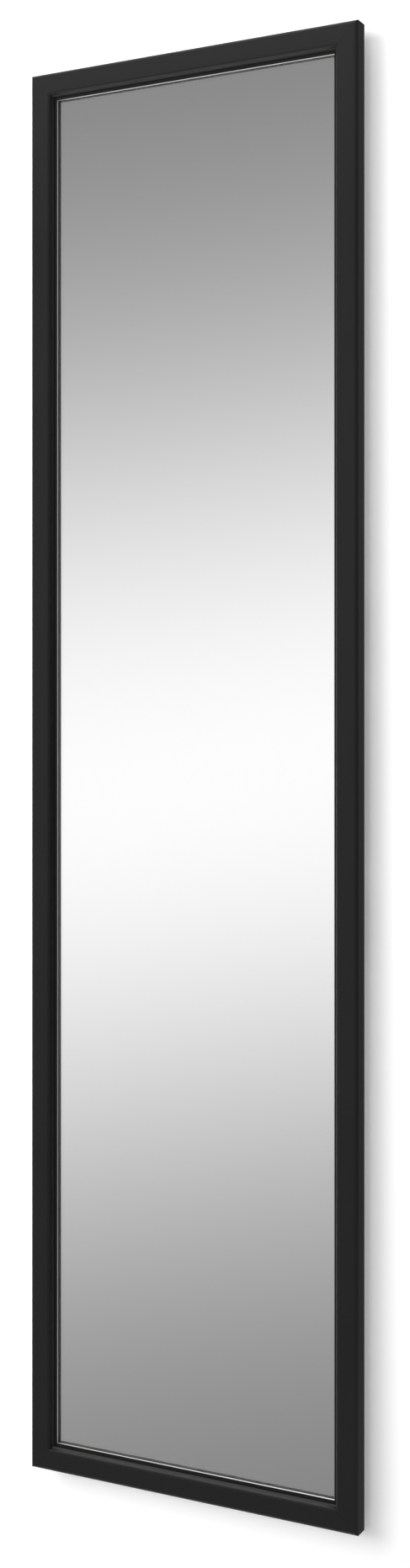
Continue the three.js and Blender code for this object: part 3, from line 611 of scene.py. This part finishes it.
def make_flange():
    """The lip's thin black flange over the glass, its gasket, and the narrow bright cut along its edge."""
    low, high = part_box("mirror_glass")
    back = low.y - FLANGE_LIFT
    foot, face = back - FLANGE_FOOT, back - FLANGE_THICKNESS
    root, cut_from = GLASS_UNDER_LIP, GLASS_UNDER_LIP + FLANGE_REACH
    cut_to = cut_from + BRIGHT_CUT
    bright_rings = [(cut_from, foot), (cut_from, face), (cut_to, face + BRIGHT_CUT), (cut_to, foot)]
    for name, finish, rings in (
        ("lip_gasket", "gasket", [(root, back), (root, foot), (cut_to, foot), (cut_to, back)]),
        ("lip_flange", "flange", [(root, foot), (root, face), (cut_from, face), (cut_from, foot)]),
        ("bright_edge", "bright_cut", bright_rings),
    ):
        piece = loops_solid(name, low, high, rings, capped=False)
        piece.data.materials.append(finishes[finish])
        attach(piece, "mirror")


def seam_side(mesh, profile, side, end, shift):
    """The profile's points along one corner's mitre, moved off it by the shift."""
    reach_x, reach_z = cad_box[1].x / mm, cad_box[1].z / mm
    points = []
    for inset, y in profile:
        x = side * (reach_x - inset + shift)
        z = end * (reach_z - inset - shift)
        points.append(mesh.verts.new(Vector((x, y, z)) * mm))
    return points


def make_seams():
    """The filler in the hairline between mitred rails, in the shape of the face and its roundings."""
    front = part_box("frame_left_stile")[0].y / mm + SEAM_SUNK
    back = front + SEAM_DEPTH
    outer = arc_points(
        OUTER_ROUND, front + OUTER_ROUND, OUTER_ROUND - SEAM_SUNK, 180, 270, ROUND_STEPS
    )
    inner = arc_points(
        FACE - INNER_ROUND, front + INNER_ROUND, INNER_ROUND - SEAM_SUNK, 270, 360, ROUND_STEPS
    )
    profile = [(SEAM_SUNK, back), *outer, *inner, (FACE - SEAM_SUNK, back)]
    half = SEAM_WIDTH / 2 / math.sqrt(2)
    for number, (side, end) in enumerate(((-1, -1), (-1, 1), (1, -1), (1, 1)), start=1):
        mesh = bmesh.new()
        near = seam_side(mesh, profile, side, end, -half)
        far = seam_side(mesh, profile, side, end, half)
        mesh.faces.new(near)
        mesh.faces.new(far)
        for i in range(len(profile)):
            mesh.faces.new((near[i - 1], near[i], far[i], far[i - 1]))
        seam = link(f"mitre_seam_{number}", smooth_mesh(f"mitre_seam_{number}", mesh))
        seam.data.materials.append(finishes["seam"])
        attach(seam, "mirror")


# Small parts: turned, punched and cut pieces in place of the plain solids

def turned(name, outline):
    """A solid turned about the Y axis through points of radius and y in millimetres, its ends on the axis."""
    mesh = bmesh.new()
    points = [mesh.verts.new((r * mm, y * mm, 0.0)) for r, y in outline]
    edges = [mesh.edges.new(pair) for pair in zip(points, points[1:])]
    bmesh.ops.spin(
        mesh,
        geom=points + edges,
        cent=(0.0, 0.0, 0.0),
        axis=(0.0, 1.0, 0.0),
        angle=2 * math.pi,
        steps=LATHE_STEPS,
        use_merge=True,
    )
    bmesh.ops.remove_doubles(mesh, verts=mesh.verts[:], dist=LATHE_WELD)
    return smooth_mesh(name, mesh)


def punched(outline, holes, thickness, edge):
    """A flat plate in X and Y, in millimetres, with holes through it and slightly rounded edges."""
    curve = bpy.data.curves.new("punched", "CURVE")
    curve.dimensions = "2D"
    curve.fill_mode = "BOTH"
    curve.extrude = (thickness / 2 - edge) * mm
    curve.bevel_depth = edge * mm
    curve.bevel_resolution = 1
    curve.offset = -edge * mm
    for points in (outline, *holes):
        spline = curve.splines.new("POLY")
        spline.points.add(len(points) - 1)
        spline.use_cyclic_u = True
        for point, (x, y) in zip(spline.points, points):
            point.co = (x * mm, y * mm, 0.0, 1.0)
    holder = bpy.data.objects.new("punched", curve)
    data = bpy.data.meshes.new_from_object(holder)
    bpy.data.objects.remove(holder)
    bpy.data.curves.remove(curve)
    return data


def cut(data, cutters):
    """The mesh with each cutter's shape taken out of it."""
    body = link("cut_body", data)
    tools = [link("cut_tool", cutter) for cutter in cutters]
    for tool in tools:
        difference = body.modifiers.new("cut", "BOOLEAN")
        difference.operation = "DIFFERENCE"
        difference.solver = "EXACT"
        difference.object = tool
    bpy.context.view_layer.update()
    done = bpy.data.meshes.new_from_object(body.evaluated_get(bpy.context.evaluated_depsgraph_get()))
    for piece in (body, *tools):
        bpy.data.objects.remove(piece)
    return shade_smooth(done)


def stand_in(name, data, node, finish_name, place=None, turned_round=False):
    """Puts a detailed piece where the frame has the plain node, on the same body and in the same slot."""
    piece = link(name, data)
    if turned_round:
        piece.rotation_euler = (math.pi, 0.0, 0.0)
    if place is not None:
        piece.location = place
    piece.data.materials.clear()
    piece.data.materials.append(finishes[finish_name])
    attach(piece, body_of_node[node])
    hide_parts(node)


def recess_bars(long, deep, top):
    """Two crossed wedges that cut a cross recess into a screw's head, narrower at the bottom."""
    bars = []
    for turn in (0.0, math.pi / 2):
        mesh = bmesh.new()
        bmesh.ops.create_cube(mesh, size=1.0)
        for vert in mesh.verts:
            x, y, z = vert.co
            taper = RECESS_TAPER_SHARE if y > 0 else 1.0
            wide = RECESS_WIDTH * (1 + taper) / 2
            vert.co = Vector((x * long * taper, y * 2 * deep + top, z * wide)) * mm
        mesh.transform(Matrix.Rotation(turn, 4, "Y"))
        bars.append(smooth_mesh("recess", mesh))
    return bars


def screw_mesh(kind, length):
    """A cross-recessed screw along +Y: a countersunk head starts at y = 0, and a domed one ends there."""
    screw = SCREWS[kind]
    head, rise, shank = screw["head"], screw["rise"], screw["shank"]
    if screw["countersunk"]:
        top, along = 0.0, rise
        outline = [(0.0, 0.0), (head - SINK_RIM_INSET, 0.0), (head, SINK_RIM_HEIGHT), (shank, rise)]
    else:
        top, along = -rise, THREAD_START
        outline = [(head * r, -rise * y) for r, y in DOME_SHARES] + [(shank, 0.0)]
    while along + THREAD_PITCH < length - THREAD_STOP:
        outline += [(shank, along), (shank - THREAD_DEPTH, along + THREAD_PITCH / 2)]
        along += THREAD_PITCH
    outline += [(shank, length - TIP_LENGTH), (shank - TIP_INSET, length), (0.0, length)]
    recess = recess_bars(RECESS_LENGTH_SHARE * shank, RECESS_DEPTH_SHARE * rise, top)
    return cut(turned(kind, outline), recess)


def make_screws():
    meshes = {}
    for node in nodes:
        kind = node.rpartition("_")[0]
        if kind not in SCREWS:
            continue
        low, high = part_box(node)
        rise, countersunk = SCREWS[kind]["rise"], SCREWS[kind]["countersunk"]
        if kind not in meshes:
            length = (high.y - low.y) / mm - (0.0 if countersunk else rise)
            meshes[kind] = screw_mesh(kind, length)
        place = middle_at(node, low.y if countersunk else high.y - rise * mm)
        stand_in(f"{node}_turned", meshes[kind], node, "screw", place, turned_round=not countersunk)


def make_set_screws():
    """Grub screws with a hexagon socket and a cup point."""
    low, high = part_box("set_screw_left_1")
    length = (high.y - low.y) / mm
    size = SET_SCREW
    outline = [
        (0.0, 0.0),
        (size["rim_radius"], 0.0),
        (size["radius"], size["chamfer"]),
        (size["radius"], length - size["taper"]),
        (size["end_radius"], length),
        (size["cup_radius"], length - size["cup_wall"]),
        (0.0, length - size["cup_depth"]),
    ]
    hexagon = bmesh.new()
    bmesh.ops.create_cone(
        hexagon,
        cap_ends=True,
        segments=size["socket_sides"],
        radius1=size["socket_radius"] * mm,
        radius2=size["socket_radius"] * mm,
        depth=size["socket_length"] * mm,
    )
    hexagon.transform(Matrix.Rotation(math.pi / 2, 4, "X"))
    data = cut(turned("set_screw", outline), [smooth_mesh("socket", hexagon)])
    for node in nodes:
        if node.startswith("set_screw"):
            place = middle_at(node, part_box(node)[1].y)
            stand_in(f"{node}_turned", data, node, "set_screw", place, turned_round=True)


def make_pins():
    """Hinge pins with a domed head above and a chamfered end below."""
    radius, chamfer, rim = PIN["radius"], PIN["chamfer"], PIN["head_chamfer"]
    for node in ("hinge_lower_pin", "hinge_upper_pin"):
        low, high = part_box(node)
        length = (high.z - low.z) / mm
        seat = length - PIN["head_height"]
        outline = [
            (0.0, 0.0),
            (radius - chamfer, 0.0),
            (radius, chamfer),
            (radius, seat),
            (PIN["head_radius"] - rim, seat),
            (PIN["head_radius"], seat + rim),
            *((r, length - drop) for r, drop in PIN_DOME),
            (0.0, length),
        ]
        data = turned(node, outline)
        data.transform(Matrix.Rotation(math.pi / 2, 4, "X"))
        place = Vector(((low.x + high.x) / 2, (low.y + high.y) / 2, low.z))
        stand_in(f"{node}_turned", data, node, "pin", place)


def make_bumpers():
    """Moulded rubber feet with a soft rim and a dished end."""
    for node in ("bumper_lower", "bumper_upper"):
        low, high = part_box(node)
        tall = (high.y - low.y) / mm
        radius = (high.x - low.x) / 2 / mm
        data = turned(node, [(radius * r, tall * y) for r, y in BUMPER_SHARES])
        stand_in(f"{node}_moulded", data, node, "bumper", middle_at(node, high.y), turned_round=True)


def slot_outline(x0, x1, y, half):
    right = arc_points(x1 - half, y, half, -90, 90, ROUND_STEPS)
    left = arc_points(x0 + half, y, half, 90, 270, ROUND_STEPS)
    return right + left


def cage_mesh(node, size, balls):
    """A punched cage with open pockets in its two flanges and slots in its web."""
    low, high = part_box(node)
    x0, x1 = low.x / mm, high.x / mm
    pocket = math.sqrt(BALL_RADIUS ** 2 - (size["row_height"] - size["flange"]) ** 2) + POCKET_GAP
    mouth = math.degrees(math.asin((size["reach"] - size["row_depth"]) / pocket))
    flange_outline = [(x0, size["web"]), (x1, size["web"]), (x1, size["reach"])]
    for x in reversed(balls):
        flange_outline += arc_points(x, size["row_depth"], pocket, mouth, -180 - mouth, POCKET_STEPS)
    flange_outline.append((x0, size["reach"]))
    slots = [
        slot_outline(a + SLOT_FROM_BALL, b - SLOT_FROM_BALL, z, SLOT_HALF_HEIGHT)
        for a, b in zip(balls[::2], balls[1::2])
        for z in SLOT_HEIGHTS
    ]
    half = size["flange"] + CAGE_SHEET / 2
    web_outline = [(x0, -half), (x1, -half), (x1, half), (x0, half)]
    mesh = bmesh.new()
    web = punched(web_outline, slots, CAGE_SHEET, CAGE_EDGE)
    web.transform(Matrix.Translation((0.0, -size["web"] * mm, 0.0)) @ Matrix.Rotation(math.pi / 2, 4, "X"))
    mesh.from_mesh(web)
    for z in (-size["flange"], size["flange"]):
        flange = punched(flange_outline, [], CAGE_SHEET, CAGE_EDGE)
        flange.transform(Matrix.Translation((0.0, 0.0, z * mm)) @ Matrix.Diagonal((1.0, -1.0, 1.0, 1.0)))
        mesh.from_mesh(flange)
    return smooth_mesh(node, mesh)


def make_cage(node):
    """The cage and, as a piece of their own, the polished balls in its pockets."""
    size = CAGES[node]
    low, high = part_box(node)
    middle = (low.x + high.x) / 2 / mm
    balls = [middle + (i - (BALL_COUNT - 1) / 2) * BALL_PITCH for i in range(BALL_COUNT)]
    stand_in(f"{node}_punched", cage_mesh(node, size, balls), node, "cage")
    mesh = bmesh.new()
    radius = BALL_RADIUS * mm
    for x in balls:
        for z in (-size["row_height"], size["row_height"]):
            place = Matrix.Translation(Vector((x, -size["row_depth"], z)) * mm)
            bmesh.ops.create_icosphere(mesh, subdivisions=BALL_SUBDIVISIONS, radius=radius, matrix=place)
    stand_in(f"{node}_balls", smooth_mesh(f"{node}_balls", mesh), node, "ball")


# Studio

def backdrop_material(name, lift, one_sided):
    """A pale matt surface that the camera sees lighter, so that it reads white with its shadows kept."""
    material, tree, shader = new_material(name)
    shader.inputs["Base Color"].default_value = (*BACKDROP_COLOUR, 1.0)
    shader.inputs["Roughness"].default_value = BACKDROP_ROUGHNESS
    shader.inputs["Specular IOR Level"].default_value = 0.0
    surface = tree.nodes["Material Output"].inputs["Surface"]
    path = add(tree, "ShaderNodeLightPath")
    glow = add(tree, "ShaderNodeEmission")
    tree.links.new(math_node(tree, "MULTIPLY", path.outputs["Is Camera Ray"], lift), glow.inputs["Strength"])
    both = add(tree, "ShaderNodeAddShader")
    tree.links.new(shader.outputs[0], both.inputs[0])
    tree.links.new(glow.outputs[0], both.inputs[1])
    tree.links.new(both.outputs[0], surface)
    if one_sided:
        side = add(tree, "ShaderNodeNewGeometry")
        clear = add(tree, "ShaderNodeBsdfTransparent")
        choice = add(tree, "ShaderNodeMixShader")
        tree.links.new(side.outputs["Backfacing"], choice.inputs["Fac"])
        tree.links.new(both.outputs[0], choice.inputs[1])
        tree.links.new(clear.outputs[0], choice.inputs[2])
        tree.links.new(choice.outputs[0], surface)
    return material


def backdrop(name, corners, material):
    """A flat sheet of the studio, which throws no light on the object and doesn't show in its mirror."""
    data = bpy.data.meshes.new(name)
    data.from_pydata([Vector(c) for c in corners], [], [range(len(corners))])
    data.materials.append(material)
    piece = link(name, data)
    piece.visible_diffuse = False
    piece.visible_glossy = False
    piece.visible_transmission = False
    return piece


def make_stage():
    low, high = cad_box
    floor_z = low.z - FLOOR_DROP
    half = FLOOR_SIZE / 2
    backdrop("floor", [
        (-half, -half, floor_z),
        (half, -half, floor_z),
        (half, half, floor_z),
        (-half, half, floor_z),
    ], backdrop_material("pale_floor", FLOOR_LIFT, one_sided=False))
    width, height = WALL_SIZE
    wall_y = high.y + WALL_GAP
    wall = backdrop("wall", [
        (-width / 2, wall_y, floor_z),
        (width / 2, wall_y, floor_z),
        (width / 2, wall_y, floor_z + height),
        (-width / 2, wall_y, floor_z + height),
    ], backdrop_material("pale_wall", WALL_LIFT, one_sided=True))
    wall.visible_shadow = False


def share_along(tree, direction, axis):
    """How far a direction points along an axis."""
    node = add(tree, "ShaderNodeVectorMath", operation="DOT_PRODUCT")
    node.inputs[1].default_value = axis
    tree.links.new(direction, node.inputs[0])
    return node.outputs["Value"]


def band_light(tree):
    """What gloss sees: a bright band near the horizon that fades into grey, with white far above and below.

    The band is weaker to the right, and all of it is weaker to the rear.
    """
    direction = add(tree, "ShaderNodeTexCoord").outputs["Generated"]
    offset = math_node(tree, "SUBTRACT", share_along(tree, direction, BAND_TILT), BAND_HEIGHT)
    squared = math_node(tree, "POWER", math_node(tree, "DIVIDE", offset, BAND_WIDTH), 2.0)
    bell = math_node(tree, "EXPONENT", math_node(tree, "MULTIPLY", squared, -1.0))
    right = spread(tree, share_along(tree, direction, TO_THE_RIGHT), 1.0, RIGHT_SHARE, *RIGHT_FADE)
    bell = math_node(tree, "MULTIPLY", bell, right)
    band = math_node(tree, "ADD", math_node(tree, "MULTIPLY", bell, BAND_HIGH - BAND_LOW), BAND_LOW)
    surround = spread(tree, math_node(tree, "ABSOLUTE", offset), 0.0, SURROUND, *SURROUND_FADE)
    rear = spread(tree, share_along(tree, direction, TO_THE_REAR), 1.0, REAR_SHARE, *REAR_FADE)
    return math_node(tree, "MULTIPLY", math_node(tree, "ADD", band, surround), rear)


def make_world():
    """White to the camera, an even fill for matt surfaces, and the band for gloss."""
    world = bpy.data.worlds.new("studio")
    scene.world = world
    world.use_nodes = True
    tree = world.node_tree
    background = tree.nodes["Background"]
    background.inputs["Color"].default_value = WHITE
    path = add(tree, "ShaderNodeLightPath")
    camera = path.outputs["Is Camera Ray"]
    shiny = math_node(tree, "MAXIMUM", path.outputs["Is Glossy Ray"], path.outputs["Is Transmission Ray"])
    matt = math_node(tree, "SUBTRACT", math_node(tree, "SUBTRACT", 1.0, shiny), camera)
    fill = math_node(tree, "MULTIPLY", math_node(tree, "MAXIMUM", matt, 0.0), WORLD_FILL)
    gloss = math_node(tree, "MULTIPLY", band_light(tree), shiny)
    strength = math_node(tree, "ADD", math_node(tree, "ADD", fill, camera), gloss)
    tree.links.new(strength, background.inputs["Strength"])


def area_lamp(name, place, size, power, glossy):
    light = bpy.data.lights.new(name, "AREA")
    light.shape = "SQUARE"
    light.size = size
    light.energy = power
    lamp = bpy.data.objects.new(name, light)
    scene.collection.objects.link(lamp)
    lamp.location = place
    lamp.rotation_euler = (-Vector(place)).to_track_quat("-Z", "Y").to_euler()
    lamp.visible_glossy = glossy
    lamp.visible_transmission = glossy


def make_camera():
    data = bpy.data.cameras.new("photo_camera")
    data.sensor_fit = "AUTO"
    data.sensor_width = SENSOR
    data.lens = LENS
    data.shift_y = SHIFT_Y
    data.clip_start = CAMERA_NEAR
    camera = bpy.data.objects.new("photo_camera", data)
    scene.collection.objects.link(camera)
    camera.location = CAMERA_PLACE
    camera.rotation_euler = (math.pi / 2, 0.0, CAMERA_TURN)
    scene.camera = camera


make_camera()
dress_cad_nodes()
make_pane()
make_flange()
make_seams()
make_screws()
make_set_screws()
make_pins()
make_bumpers()
for cage_node in CAGES:
    make_cage(cage_node)
make_stage()
make_world()
for lamp_name, lamp_values in LAMPS.items():
    area_lamp(lamp_name, **lamp_values)
scene.view_settings.view_transform = "Standard"
